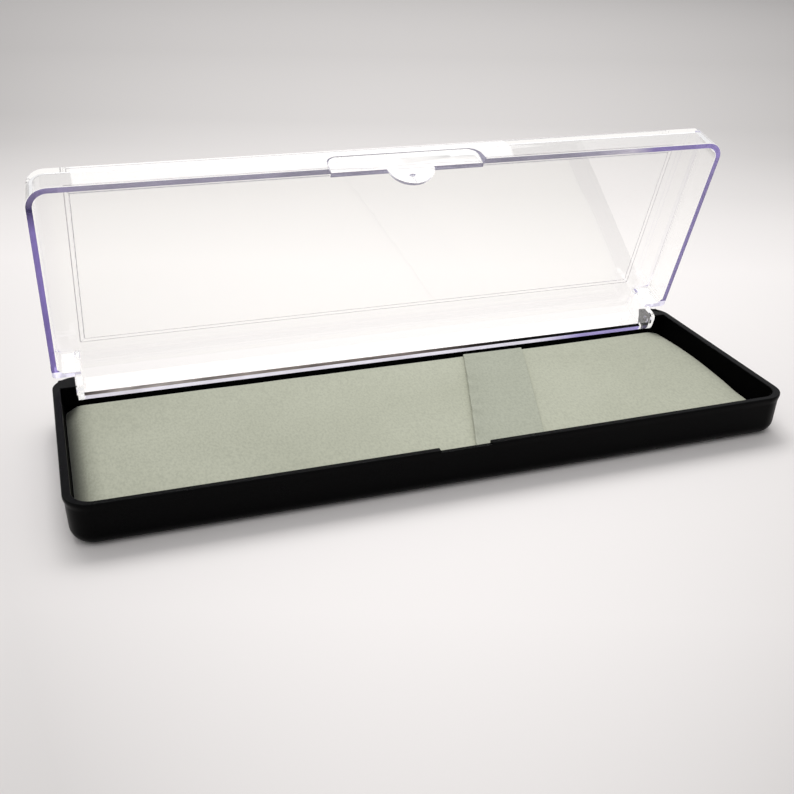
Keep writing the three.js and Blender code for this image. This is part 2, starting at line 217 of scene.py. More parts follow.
class Nodes:
    """A short way to write a material's nodes."""

    def __init__(self, name):
        self.material = bpy.data.materials.new(name)
        self.material.use_nodes = True
        self.tree = self.material.node_tree
        self.tree.nodes.clear()
        self.out = self.tree.nodes.new("ShaderNodeOutputMaterial")

    def add(self, kind, inputs=None, **settings):
        node = self.tree.nodes.new(kind)
        for key, value in settings.items():
            setattr(node, key, value)
        for key, value in (inputs or {}).items():
            self.put(node.inputs[key], value)
        return node

    def put(self, socket, value):
        if isinstance(value, bpy.types.NodeSocket):
            self.tree.links.new(value, socket)
        elif isinstance(value, bpy.types.Node):
            self.tree.links.new(value.outputs[0], socket)
        else:
            socket.default_value = value

    def coords(self):
        return self.add("ShaderNodeTexCoord").outputs["Object"]

    def axes(self):
        """The place on the surface as its X, Y and Z sockets."""
        return self.add("ShaderNodeSeparateXYZ", {"Vector": self.coords()}).outputs

    def noise(self, scale, detail, rough, vector=None):
        inputs = {"Vector": vector or self.coords(), "Scale": scale, "Detail": detail, "Roughness": rough}
        return self.add("ShaderNodeTexNoise", inputs).outputs["Fac"]

    def ramp(self, fac, stops):
        """A colour that runs through stops, each (place from 0 to 1, grey level or colour)."""
        node = self.add("ShaderNodeValToRGB", {"Fac": fac})
        while len(node.color_ramp.elements) < len(stops):
            node.color_ramp.elements.new(0.5)
        for element, (at, colour) in zip(node.color_ramp.elements, stops):
            element.position = at
            if not hasattr(colour, "__len__"):
                colour = (colour,) * 3
            element.color = (*colour, 1)
        return node.outputs["Color"]

    def along_case(self, stops):
        """A ramp along the case's length, with the stops' places in millimetres from its middle."""
        share = self.math("ADD", self.math("DIVIDE", self.axes()["X"], CASE_LENGTH * MM), 0.5)
        return self.ramp(share, [(x / CASE_LENGTH + 0.5, colour) for x, colour in stops])

    def math(self, operation, a, b=0.0, clamp=False):
        node = self.add("ShaderNodeMath", operation=operation, use_clamp=clamp)
        self.put(node.inputs[0], a)
        self.put(node.inputs[1], b)
        return node.outputs[0]

    def mix(self, fac, a, b, blend="MIX"):
        node = self.add("ShaderNodeMix", data_type="RGBA", blend_type=blend)
        self.put(node.inputs["Factor"], fac)
        self.put(node.inputs["A"], a if not isinstance(a, tuple) else (*a, 1))
        self.put(node.inputs["B"], b if not isinstance(b, tuple) else (*b, 1))
        return node.outputs["Result"]

    def bump(self, height, strength, distance):
        inputs = {"Height": height, "Strength": strength, "Distance": distance}
        return self.add("ShaderNodeBump", inputs).outputs["Normal"]

    def surface(self, shader):
        self.put(self.out.inputs["Surface"], shader)
        return self.material


def srgb(r, g, b):
    def linear(c):
        c /= 255
        return c / 12.92 if c <= 0.04045 else ((c + 0.055) / 1.055) ** 2.4

    return (linear(r), linear(g), linear(b))


def black_plastic():
    n = Nodes("black_plastic")
    fine = n.noise(2600, 3, 0.6)
    broad = n.noise(90, 2, 0.5)
    rough = n.ramp(broad, [(0.3, 0.26), (0.7, 0.36)])
    colour = n.ramp(fine, [(0.35, (0.0010, 0.0010, 0.0011)), (0.7, (0.0022, 0.0022, 0.0024))])
    bsdf = n.add(
        "ShaderNodeBsdfPrincipled",
        {
            "Base Color": colour,
            "Roughness": rough,
            "Specular IOR Level": 0.036,
            "Normal": n.bump(fine, 0.12, 0.00005),
        },
    )
    return n.surface(bsdf)


def shaded_black_copy():
    """The tray's inner walls: a rougher, darker copy of the black plastic with almost no shine, painted
    shade for the deep shadow inside the tray, with a fine grain.
    """
    n = Nodes("shaded_black_copy")
    fine = n.noise(2600, 3, 0.6)
    bsdf = n.add(
        "ShaderNodeBsdfPrincipled",
        {
            # Painted shade: darker than the outside and with almost no specular.
            "Base Color": n.ramp(fine, [(0.35, (0.0008, 0.0008, 0.0008)), (0.7, (0.0020, 0.0020, 0.0021))]),
            "Roughness": 0.6,
            "Specular IOR Level": 0.006,
            "Normal": n.bump(fine, 0.1, 0.00005),
        },
    )
    return n.surface(bsdf)


def see_through(n, shader, tint):
    """Lets light through to what is behind, which clear plastic does and traced glass alone doesn't."""
    path = n.add("ShaderNodeLightPath")
    passes = n.math("MAXIMUM", path.outputs["Is Shadow Ray"], path.outputs["Is Diffuse Ray"])
    clear = n.add("ShaderNodeBsdfTransparent", {"Color": (*tint, 1)})
    mixed = n.add("ShaderNodeMixShader")
    n.put(mixed.inputs[0], passes)
    n.put(mixed.inputs[1], shader)
    n.put(mixed.inputs[2], clear)
    return mixed


def clear_plastic():
    """Clear styrene with painted light: a faint even emission over the whole sheet, and a pale emitted glow
    on rays that have bounced many times, standing in for light caught inside the sheet.
    """
    n = Nodes("clear_plastic")
    trapped_after = 5.5
    wave = n.noise(26, 1, 0.4)
    bsdf = n.add(
        "ShaderNodeBsdfPrincipled",
        {
            "Base Color": (0.998, 0.996, 0.99, 1),
            "Roughness": 0.0,
            "IOR": 1.58,
            "Transmission Weight": 1.0,
            "Normal": n.bump(wave, 0.05, 0.0004),
        },
    )
    # Painted light: a faint even emission standing in for haze, and further down a pale emitted glow on
    # much-bounced rays.
    painted_haze_glow = n.add("ShaderNodeEmission", {"Color": (1.0, 0.99, 0.975, 1), "Strength": 0.024})
    with_painted_haze = n.add("ShaderNodeAddShader", {0: bsdf, 1: painted_haze_glow})
    bounces = n.add("ShaderNodeLightPath").outputs["Ray Depth"]
    trapped = n.math("GREATER_THAN", bounces, trapped_after)
    glow = n.add("ShaderNodeEmission", {"Color": (1.0, 0.975, 0.95, 1), "Strength": 0.88})
    piped = n.add("ShaderNodeMixShader", {0: trapped, 1: with_painted_haze, 2: glow})
    return n.surface(see_through(n, piped, (0.985, 0.985, 0.99)))


def step_plastic():
    """The steep little steps of the sunk window, slightly matt, with a grey colour painted on as the shade
    their refraction shows, so that they read as fine grey lines.
    """
    n = Nodes("step_plastic")
    grain = n.noise(900, 2, 0.5)
    bsdf = n.add(
        "ShaderNodeBsdfPrincipled",
        {
            # Painted shade: grey standing in for the refraction at the steps.
            "Base Color": n.ramp(grain, [(0.3, srgb(205, 200, 205)), (0.7, srgb(230, 226, 230))]),
            "Roughness": 0.3,
            "IOR": 1.5,
            "Transmission Weight": 0.35,
        },
    )
    return n.surface(see_through(n, bsdf, (0.9, 0.9, 0.9)))


# Heights on the open lid's edge, in metres, between which its colour changes.
EDGE_REAR_END = 0.009
EDGE_NOTCH_END = 0.0145
EDGE_SIDE_END = 0.0605
DARK_PATCH_Z = 0.0597
DARK_PATCH_REACH = 0.0055
SIDE_EDGE_X = 0.0855
SIDE_EDGE_WIDTH = 0.0018


def edge_colours(n, z):
    """Violet sides, a greyer top with a painted highlight in it, and a pale foot and notch whose paleness is
    painted light.
    """
    side = n.along_case([(-80, srgb(126, 108, 188)), (80, srgb(122, 108, 172))])
    top = n.along_case([
        (-84, srgb(142, 128, 186)),
        (-74, srgb(150, 145, 170)),
        (50, srgb(150, 146, 168)),
        # A painted highlight on the top edge, about 60 mm right of the middle.
        (60, srgb(205, 198, 218)),
        (66, srgb(124, 108, 178)),
        (84, srgb(132, 116, 192)),
    ])
    # The pale foot and notch are painted light: light piped along inside the plastic.
    rear = n.along_case([(-80, srgb(222, 218, 232)), (46, srgb(224, 220, 236)), (60, srgb(150, 138, 200))])
    notch = srgb(214, 209, 228)
    upper = n.mix(n.math("GREATER_THAN", z, EDGE_SIDE_END), side, top)
    above_rear = n.mix(n.math("GREATER_THAN", z, EDGE_NOTCH_END), notch, upper)
    return n.mix(n.math("GREATER_THAN", z, EDGE_REAR_END), rear, above_rear)


def edge_shade(n, x, z):
    """Soft streaks, and a dark patch near the upper left corner."""
    streaks = n.ramp(n.noise(70, 3, 0.6), [(0.3, 0.78), (0.7, 1.1)])
    away = n.math("DIVIDE", n.math("ABSOLUTE", n.math("SUBTRACT", z, DARK_PATCH_Z)), DARK_PATCH_REACH)
    on_left = n.math("LESS_THAN", x, -0.08)
    dark = n.math("MULTIPLY", n.math("SUBTRACT", 1.0, away), on_left, clamp=True)
    return n.mix(dark, streaks, (0.03, 0.02, 0.10))


def edge_plastic():
    """The lid's cut edge, violet, which glows with painted light: it emits its own colour, most along the
    low rear strip, standing in for light that has run along inside the plastic.
    """
    n = Nodes("edge_plastic")
    place = n.axes()
    x, z = place["X"], place["Z"]
    colour = n.mix(1.0, edge_colours(n, z), edge_shade(n, x, z), "MULTIPLY")
    # Painted shade across each side edge: lighter just inside, darker towards its outer edge.
    across = n.math("DIVIDE", n.math("SUBTRACT", n.math("ABSOLUTE", x), SIDE_EDGE_X), SIDE_EDGE_WIDTH)
    side_edge_shade = n.ramp(across, [(0.1, 1.0), (0.35, 1.12), (0.7, 0.98), (0.95, 0.62)])
    colour = n.mix(1.0, colour, side_edge_shade, "MULTIPLY")
    # Painted glow: the edge emits its colour, more below the notch's top.
    low = n.math("SUBTRACT", 1.0, n.math("GREATER_THAN", z, EDGE_NOTCH_END))
    edge_glow_strength = n.math("ADD", 0.16, n.math("MULTIPLY", low, 0.42))
    bsdf = n.add(
        "ShaderNodeBsdfPrincipled",
        {
            "Base Color": colour,
            "Roughness": 0.12,
            "IOR": 1.58,
            "Transmission Weight": 0.22,
            "Emission Color": colour,
            "Emission Strength": edge_glow_strength,
        },
    )
    return n.surface(see_through(n, bsdf, (0.8, 0.78, 0.9)))


def foot_plastic():
    """The chamfer along the rear skirt's foot, with a painted dark line: its colour stands in for the black
    tray seen through it, pale at the left and nearly black at the right.
    """
    n = Nodes("foot_plastic")
    # Painted refraction of the black tray under the foot, along the case's length.
    base = n.along_case([
        (-82, srgb(90, 80, 76)),
        (-70, srgb(170, 162, 158)),
        (-30, srgb(140, 130, 124)),
        (10, srgb(118, 108, 104)),
        (26, srgb(40, 34, 32)),
        (40, srgb(10, 9, 10)),
    ])
    stretch = n.add("ShaderNodeMapping", {"Vector": n.coords(), "Scale": (0.12, 1, 1)})
    streak = n.ramp(n.noise(900, 3, 0.6, stretch.outputs[0]), [(0.35, 0.55), (0.65, 1.25)])
    bsdf = n.add(
        "ShaderNodeBsdfPrincipled",
        {"Base Color": n.mix(1.0, base, streak, "MULTIPLY"), "Roughness": 0.35, "Specular IOR Level": 0.04},
    )
    return n.surface(see_through(n, bsdf, (0.8, 0.8, 0.8)))


def velour(name, low, high):
    """Short-pile cloth: a fine even grain with a hint of cloud in it, with painted shade that darkens it
    towards the left end and a little at the right end.
    """
    n = Nodes(name)
    share = n.math("ADD", n.math("DIVIDE", n.axes()["X"], CASE_LENGTH * MM), 0.5)
    # Painted shade: the pad's left end, where it rolls down towards the wall, and its right end are
    # darkened.
    left_end_shade = [(0.014, 0.14), (0.022, 0.38), (0.033, 0.72), (0.05, 0.92)]
    painted_end_shade = n.ramp(share, left_end_shade + [(0.25, 0.95), (0.45, 1.01), (0.8, 1.01), (1.0, 0.93)])
    squeeze = n.add("ShaderNodeVectorMath", {0: n.coords(), 1: (1.0, 0.5, 1.0)}, operation="MULTIPLY")
    stretched = squeeze.outputs[0]
    pile = n.noise(2300, 3, 0.6)
    grain = n.noise(2000, 2, 0.6, stretched)
    nap = n.noise(420, 3, 0.6, stretched)
    cloud = n.noise(38, 2, 0.5)
    mottle = n.math("ADD", n.math("MULTIPLY", nap, 0.25), n.math("MULTIPLY", cloud, 0.75))
    base = n.ramp(mottle, [(0.36, low), (0.64, high)])
    speckle = n.ramp(grain, [(0.34, 0.86), (0.5, 0.95), (0.66, 1.01)])
    colour = n.mix(1.0, n.mix(1.0, base, speckle, "MULTIPLY"), painted_end_shade, "MULTIPLY")
    height = n.math("ADD", n.math("MULTIPLY", pile, 0.5), grain)
    bsdf = n.add(
        "ShaderNodeBsdfPrincipled",
        {
            "Base Color": colour,
            "Roughness": 0.95,
            "Specular IOR Level": 0.08,
            "Sheen Weight": 0.35,
            "Sheen Roughness": 0.4,
            "Sheen Tint": (0.9, 0.92, 0.84, 1),
            "Normal": n.bump(height, 0.4, 0.00015),
        },
    )
    return n.surface(bsdf)


def foam_material():
    n = Nodes("foam")
    cells = n.add("ShaderNodeTexVoronoi", {"Vector": n.coords(), "Scale": 1500.0}).outputs["Distance"]
    bsdf = n.add(
        "ShaderNodeBsdfPrincipled",
        {
            "Base Color": n.ramp(cells, [(0.0, (0.42, 0.41, 0.37)), (0.6, (0.66, 0.65, 0.6))]),
            "Roughness": 1.0,
            "Specular IOR Level": 0.05,
            "Normal": n.bump(cells, 0.6, 0.0003),
        },
    )
    return n.surface(bsdf)


def board_material():
    n = Nodes("board")
    stretch = n.add("ShaderNodeMapping", {"Vector": n.coords(), "Scale": (0.35, 1, 1)})
    fibres = n.noise(900, 4, 0.7, stretch.outputs[0])
    bsdf = n.add(
        "ShaderNodeBsdfPrincipled",
        {
            "Base Color": n.ramp(fibres, [(0.3, (0.19, 0.165, 0.125)), (0.7, (0.3, 0.27, 0.215))]),
            "Roughness": 0.92,
            "Normal": n.bump(fibres, 0.3, 0.0001),
        },
    )
    return n.surface(bsdf)


# ---------------------------------------------------------------- tray

LIP_OUT = 0.25
LIP_FOOT = 9.0
CORNER = 5.9
INNER_CORNER = 4.4
FOOT_ROUND = 3.3
TAPER = 0.037
WALL_X = 1.9
WALL_Y = 1.6
FLOOR_Z = 1.3
BLOCK_X = 81.85
BLOCK_Y = 24.9
BLOCK_Z = 6.0
NOTCH_HALF = 6.3
NOTCH_Z = 10.55
TONGUE_LEAN = math.tan(math.radians(7.5))
THUMB_TOP_Z = 16.7
THUMB_FACE_Y = -CASE_HALF_WIDTH + 0.45
RELIEF_FOOT = 4.5
BEARING_RADIUS = 1.05
PIN_RADIUS = 0.95
FRONT_BOW = 0.35


def arc_steps(radius, count):
    """(inset, height) pairs of a quarter round that starts flat underneath and ends upright."""
    steps = [math.radians(90 * k / count) for k in range(count + 1)]
    return [(radius * (1 - math.sin(a)), radius * (1 - math.cos(a))) for a in steps]


def build_tray():
    def outer(inset, z):
        inset += TAPER * (RIM_Z - z)
        x, y = HALF_X - inset, HALF_Y - inset
        return ring(rounded_rect(x, -y, y, CORNER - inset, 14, 8), z)

    def inner(inset, z):
        inset += TAPER * (RIM_Z - z)
        x, y = HALF_X - WALL_X - inset, HALF_Y - WALL_Y - inset
        return ring(rounded_rect(x, -y, y, max(0.4, INNER_CORNER - inset), 14, 8), z)

    rings = [outer(LIP_OUT + i, z) for i, z in arc_steps(FOOT_ROUND, 8)]
    rings += [outer(LIP_OUT, 6.5), outer(LIP_OUT, LIP_FOOT), outer(LIP_OUT - 0.06, LIP_FOOT + 0.4)]
    rings += [outer(0.06, LIP_FOOT + 1.0), outer(0.0, LIP_FOOT + 1.3), outer(0.0, RIM_Z - 0.32)]
    rings += [outer(0.06, RIM_Z - 0.12), outer(0.2, RIM_Z - 0.02), outer(0.34, RIM_Z)]
    body = loft("tray_body", rings)
    hollow = [inner(i, FLOOR_Z + z) for i, z in arc_steps(0.6, 4)]
    hollow += [inner(0, 6), inner(0, RIM_Z - 0.25), inner(-0.06, RIM_Z - 0.08), inner(-0.2, RIM_Z)]
    hollow += [inner(-0.2, RIM_Z + 1)]
    cut(body, loft("tray_hollow", hollow))
    cut(body, rear_cut())
    for side in (-1, 1):
        join(body, bearing_block(side))
        hole = cylinder_x("hole", BEARING_RADIUS, side * (BLOCK_X - 1), side * 84.2, PIVOT_Y, PIVOT_Z)
        cut(body, hole)
    cut(body, box_object("notch", -NOTCH_HALF, NOTCH_HALF, -HALF_Y - 1, -28, NOTCH_Z, RIM_Z + 1))
    relief = [(-NOTCH_HALF, RELIEF_FOOT), (NOTCH_HALF, RELIEF_FOOT), (NOTCH_HALF, 12), (-NOTCH_HALF, 12)]
    cut(body, leaned("relief", relief, relief, THUMB_FACE_Y - 0.3, 2))

    def bow(p):
        """The long front wall of such a moulding stands a little proud in its middle."""
        share = max(0.0, 1 - (p.x / 82) ** 2) * max(0.0, -p.y / HALF_Y - 0.85) / 0.15
        return Vector((p.x, p.y - FRONT_BOW * share, p.z))

    move_vertices(tidy(body), bow)
    body.name = "tray_shell"
    return soften(body)


def mark_inside(obj):
    """Gives the faces inside the tray, below its rim, the darker copy that paints their shade."""
    for face in obj.data.polygons:
        p, normal = face.center / MM, face.normal
        inside = abs(p.x) < HALF_X - WALL_X + 0.2 and abs(p.y) < HALF_Y - WALL_Y + 0.2
        inward = normal.x * p.x + normal.y * p.y * 3 < 0 or normal.z > 0.5
        if inside and inward and FLOOR_Z - 0.1 < p.z < RIM_Z - 0.2:
            face.material_index = 1


def rear_cut():
    """The lid's side of a plane just outside its rear skirt when the lid is open, behind the hinge line."""
    block = box_object("rear_cut", -BLOCK_X, BLOCK_X, -30, 31.3 - PIVOT_Y, -30, 30)
    turn = Matrix.Rotation(-math.radians(OPEN_DEG), 4, "X")
    move_vertices(block, lambda p: turn @ p + Vector((0, PIVOT_Y, PIVOT_Z)))
    span = box_object("span", -BLOCK_X, BLOCK_X, PIVOT_Y, 62, BLOCK_Z - 1.5, RIM_Z + 1)
    return boolean(span, block, "INTERSECT")


def bearing_block(side):
    x1 = HALF_X - WALL_X + 0.4
    block = box_object("block", BLOCK_X, x1, BLOCK_Y, HALF_Y - WALL_Y + 0.4, BLOCK_Z, RIM_Z)
    mod = block.modifiers.new("round", "BEVEL")
    mod.width = 0.25 * MM
    mod.segments = 2
    apply_all(block)
    if side < 0:
        move_vertices(block, lambda p: Vector((-p.x, p.y, p.z)))
        fix_normals(block)
    return block


def leaned(name, near, far, face_y, thickness):
    """A plate seen from the front as (x, z) points, near and far side, that leans in towards its foot."""
    rings = []
    for points, y in ((near, face_y), (far, face_y + thickness)):
        rings.append([(x, y + (THUMB_TOP_Z - z) * TONGUE_LEAN, z) for x, z in points])
    return loft(name, rings)


# ---------------------------------------------------------------- lid, drawn closed

LID_X = 87.15
LID_Y = CASE_HALF_WIDTH
LID_RIM = 11.2
LID_TOP = 20.0
LID_WALL = 1.5
LID_TAPER = 0.05
LID_CORNER = 5
TOP_ROUND = 0.55
REAR_ROUND = 4.3
EAR_X = BLOCK_X - 0.25
NOTCH_Y = 23.9
NOTCH_ROUND = 1
NOTCH_ROUND_INSIDE = 1.8
SKIRT_Z = 10.0
FOOT_DEPTH = 0.95
WINDOW_RIGHT = 76.1
WINDOW_LEFT = -78.1
WINDOW_FRONT = -23.9
WINDOW_REAR = 18.6
THUMB_HALF = 19.0
THUMB_CORNER = 2.6
THUMB_MIDDLE = -0.4
THUMB_WALL = 1.15
TONGUE_RADIUS = 6.0
TONGUE_CENTRE_Z = 11.7
PIP_Z = LID_RIM - 1.75
STEM_Z = LID_RIM - 3.3


def lid_ring(inset, z, notch_radius):
    """The lid's outline at height z, notched at both rear corners and set in all round."""
    inset += LID_TAPER * max(0.0, z - LID_RIM)
    side, rear, ear, notch = LID_X - inset, LID_Y - inset, EAR_X - inset, NOTCH_Y - inset
    corner = max(0.15, LID_CORNER - inset)
    inside = 0.12 + 0.2 * min(1, inset)
    corners = [
        (side, -LID_Y + inset, corner),
        (side, notch, notch_radius),
        (ear, notch, inside),
        (ear, rear, 0.3),
        (-ear, rear, 0.3),
        (-ear, notch, inside),
        (-side, notch, notch_radius),
        (-side, -LID_Y + inset, corner),
    ]
    return ring(outline(corners), z)


def build_lid():
    def outer(inset, z):
        return lid_ring(inset, z, NOTCH_ROUND)

    def inner(inset, z):
        return lid_ring(LID_WALL + inset, z, NOTCH_ROUND_INSIDE)

    rings = [outer(0.1, LID_RIM), outer(0.0, LID_RIM + 0.12), outer(0.0, 15)]
    rings += [outer(TOP_ROUND - i, LID_TOP - z) for i, z in reversed(top_round(TOP_ROUND))]
    shell = boolean(loft("lid_shell", rings), rear_round(0, REAR_ROUND), "INTERSECT")
    hollow = [inner(-0.08, LID_RIM - 1), inner(-0.08, LID_RIM), inner(0, LID_RIM + 0.1)]
    hollow += [inner(0.5 - i, LID_TOP - LID_WALL - z) for i, z in reversed(top_round(0.5))]
    cut(shell, boolean(loft("lid_hollow", hollow), rear_round(LID_WALL, REAR_ROUND - LID_WALL), "INTERSECT"))
    add_window(shell)
    add_thumb_recess(shell)
    add_hinge(shell)
    tidy(shell)
    shell.name = "lid_clear"
    return shell


def rear_round(inset, radius):
    """A long bar whose upper rear edge is rounded; the lid keeps only what lies inside it.

    The bar stands slack outside the flat faces, so that it leaves them alone.
    """
    slack, foot = 0.02, -5.0
    top = LID_TOP - inset + slack
    rear = LID_Y - inset + slack
    centre_z = top - radius
    centre_y = rear - LID_TAPER * (centre_z - LID_RIM) - radius * math.hypot(1, LID_TAPER)
    first = math.atan(LID_TAPER)
    arc = [first + (math.pi / 2 - first) * k / 16 for k in range(17)]
    profile = [(-50, foot), (rear + LID_TAPER * (LID_RIM - foot), foot)]
    profile += [(centre_y + radius * math.cos(a), centre_z + radius * math.sin(a)) for a in arc]
    profile.append((-50, top))
    return loft("rear_round", [[(x, y, z) for y, z in profile] for x in (-100, 100)])


def top_round(radius, count=5):
    """(distance in from full width, distance below the top) along a quarter round, top first."""
    steps = [math.radians(90 * k / count) for k in range(count + 1)]
    return [(radius * math.sin(a), radius * (1 - math.cos(a))) for a in steps]


def add_window(shell):
    """A shallow sunk window whose frame drops in two small steep steps, which show as two fine lines."""
    def frame_ring(grow, z):
        left, right = WINDOW_LEFT - grow, WINDOW_RIGHT + grow
        front, rear = WINDOW_FRONT - grow, WINDOW_REAR + grow
        corners = [(right + 0.3, front), (right, rear), (left, rear), (left + 0.6, front)]
        return ring(outline([(x, y, 0.3) for x, y in corners], 3), z)

    steps = [(0, 0.36), (0.22, 0.18), (1.1, 0.16), (1.32, 0.0), (2.5, -1)]
    cut(shell, loft("window", [frame_ring(grow, LID_TOP - depth) for grow, depth in steps]))


def thumb_outline(wider, higher, foot):
    """(x, z) points of the recess, an upright rectangle with round upper corners."""
    half, top, radius = THUMB_HALF + wider, THUMB_TOP_Z + higher, THUMB_CORNER
    points = [(THUMB_MIDDLE + half, foot)]
    for side in (1, -1):
        for k in range(11):
            a = math.radians(9 * k if side > 0 else 90 - 9 * k)
            x = THUMB_MIDDLE + side * (half - radius + radius * math.cos(a))
            points.append((x, top - radius + radius * math.sin(a)))
    return points + [(THUMB_MIDDLE - half, foot)]


def tongue_outline(radius):
    """(x, z) points of the catch tongue, a half disc that hangs from the lid's rim."""
    arc = [math.radians(180 + 180 * k / 28) for k in range(29)]
    points = [(radius * math.cos(a), TONGUE_CENTRE_Z + radius * math.sin(a)) for a in arc]
    return [(-radius, TONGUE_CENTRE_Z + 1)] + points + [(radius, TONGUE_CENTRE_Z + 1)]


def add_thumb_recess(shell):
    """The recess that a thumb pushes against, with the catch tongue and its pip and stem behind it."""
    floor, mouth = thumb_outline(0, 0, LID_RIM - 3), thumb_outline(2, 0, LID_RIM - 3)
    cut(shell, leaned("air", mouth, floor, THUMB_FACE_Y - 3, 3))
    backing = thumb_outline(0.2, 0.45, LID_RIM)
    join(shell, leaned("backing", backing, backing, THUMB_FACE_Y, THUMB_WALL))
    near, far = tongue_outline(TONGUE_RADIUS), tongue_outline(TONGUE_RADIUS - 0.7)
    join(shell, leaned("tongue", near, far, THUMB_FACE_Y, THUMB_WALL))
    for name, size, z in (("pip", (0.85, 0.5, 0.36), PIP_Z), ("stem", (0.3, 0.35, 1.5), STEM_Z)):
        y = THUMB_FACE_Y + (THUMB_TOP_Z - z) * TONGUE_LEAN + THUMB_WALL + 0.05
        join(shell, ellipsoid(name, size, Vector((0, y, z))))


def ellipsoid(name, size, centre):
    """An ellipsoid with half axes size."""
    bm = bmesh.new()
    bmesh.ops.create_uvsphere(bm, u_segments=20, v_segments=12, radius=MM)
    mesh = bpy.data.meshes.new(name)
    bm.to_mesh(mesh)
    bm.free()
    obj = bpy.data.objects.new(name, mesh)
    bpy.context.scene.collection.objects.link(obj)
    return move_vertices(obj, lambda p: Vector(p[i] * size[i] for i in range(3)) + centre)


def ear_outline():
    """(y, z) points of an ear, round about the pivot underneath."""
    radius = PIVOT_Z - 6.6
    points = [(23.3, LID_RIM + 0.6), (23.3, 7.6), (23.6, 6.9), (24.3, 6.6)]
    for k in range(15):
        a = math.radians(-90 + 70 * k / 14)
        points.append((PIVOT_Y + radius * math.cos(a), PIVOT_Z + radius * math.sin(a)))
    return points + [(31.0, SKIRT_Z), (31.0, LID_RIM + 0.6)]


def add_hinge(shell):
    """The ears, the pins on them and the deeper rear skirt between them."""
    inner = LID_Y - LID_WALL
    foot = [(inner + 0.25, SKIRT_Z), (inner, SKIRT_Z + FOOT_DEPTH), (inner, LID_RIM + 0.3),
            (LID_Y, LID_RIM + 0.3), (LID_Y, SKIRT_Z)]
    join(shell, loft("rear_edge", [[(x, y, z) for y, z in foot] for x in (-EAR_X, EAR_X)]))
    for side in (-1, 1):
        x0, x1 = sorted((side * (EAR_X - LID_WALL), side * EAR_X))
        join(shell, loft("ear", [[(x, y, z) for y, z in ear_outline()] for x in (x0, x1)]))
        pin = cylinder_x("pin", PIN_RADIUS, side * (EAR_X - 0.5), side * 83.7, PIVOT_Y, PIVOT_Z, 0.2, 28)
        join(shell, pin)


def open_lid(obj):
    """Turns the lid from shut to wide open, resting on its stop."""
    turn = Matrix.Rotation(-math.radians(OPEN_DEG), 4, "X")
    pivot = Vector((0, PIVOT_Y, PIVOT_Z))
    return move_vertices(obj, lambda p: turn @ (p - pivot) + pivot)


def is_rim(p, normal):
    return normal.z < -0.75 and p.z < LID_RIM + 0.4


def is_recess_edge(p, normal):
    """The recess's ceiling, or the round corners and sides below it."""
    ceiling = normal.z < -0.75 and p.y < THUMB_FACE_Y + 1.2 and abs(p.z - THUMB_TOP_Z) < 0.3
    beside = p.y < THUMB_FACE_Y + 0.3 and abs(p.x) > 16 and LID_RIM + 0.2 < p.z < THUMB_TOP_Z
    return ceiling or (beside and normal.z < 0.1 and normal.x * p.x < -0.3)


def is_tongue_edge(p, normal):
    place = abs(p.x) < TONGUE_RADIUS + 0.2 and p.y < 0 and p.z < LID_RIM
    return place and normal.z < 0.1 and normal.x < 0.6 and abs(normal.y) < 0.8


def is_pip(p):
    return abs(p.x) < 0.9 and LID_RIM - 2.2 < p.z < LID_RIM - 1.2 and p.y > THUMB_FACE_Y + 1.9


def is_ear(p):
    across = EAR_X - LID_WALL - 0.05 < abs(p.x) < EAR_X + 0.05
    return across and p.y > 23 and p.z < LID_RIM - 1.5


def is_foot(p, normal):
    place = abs(p.x) < EAR_X - LID_WALL and p.y > LID_Y - 2 and p.z < SKIRT_Z + FOOT_DEPTH
    return place and -0.5 < normal.z < -0.1 and normal.y < -0.8


def is_window_step(p, normal):
    place = LID_TOP - 0.4 < p.z < LID_TOP and abs(p.x) < 80 and -27 < p.y < 22
    return place and 0.3 < normal.z < 0.95


def mark_edges(obj):
    """Gives the closed lid's edges, foot and window steps their own materials."""
    for face in obj.data.polygons:
        p, normal = face.center / MM, face.normal
        edge = is_rim(p, normal) or is_recess_edge(p, normal) or is_tongue_edge(p, normal) or is_pip(p)
        if is_foot(p, normal):
            face.material_index = 3
        elif edge and not is_ear(p):
            face.material_index = 1
        elif is_window_step(p, normal):
            face.material_index = 2


# ---------------------------------------------------------------- insert

COVER_LOW, COVER_HIGH = box_mm("insert_cover")
BAND_LOW = box_mm("band")[0]
COVER_FOOT = 1.2
CORE_INSET = 0.85
VOXEL = 1.1
SIM_SCALE = 10.0
SIM_FRAMES = 20


def pad_blank():
    """The pad before it swells: a thin slab with round edges, a little smaller than its place."""
    right, left, half_y = COVER_HIGH.x + 0.35, -COVER_HIGH.x - 0.85, COVER_HIGH.y + 0.05
    low, high = COVER_LOW.z, COVER_HIGH.z + 0.12
    corner_radius, edge_radius = 2.4, 1.7

    def at(inset, z):
        x0, x1, y, corner = left + inset, right - inset, half_y - inset, corner_radius - inset
        corners = [(x1, -y, corner), (x1, y, corner), (x0, y, corner), (x0, -y, corner)]
        return ring(outline(corners, 10, 8), z)

    rings = [at(0.2, low), at(0.0, low + 0.3)]
    rings += [at(edge_radius - i, high - z) for i, z in reversed(top_round(edge_radius, 6))]
    return loft("pad", rings)


def crown_cap(p):
    """How far a point of the pad may swell, in millimetres: most along the middle, least at the ends."""
    across = max(0.0, 1 - (p.y / 28.5) ** 2)
    along = max(0.0, 1 - abs(p.x / 86) ** 5)
    return 0.08 + 0.26 * across * along


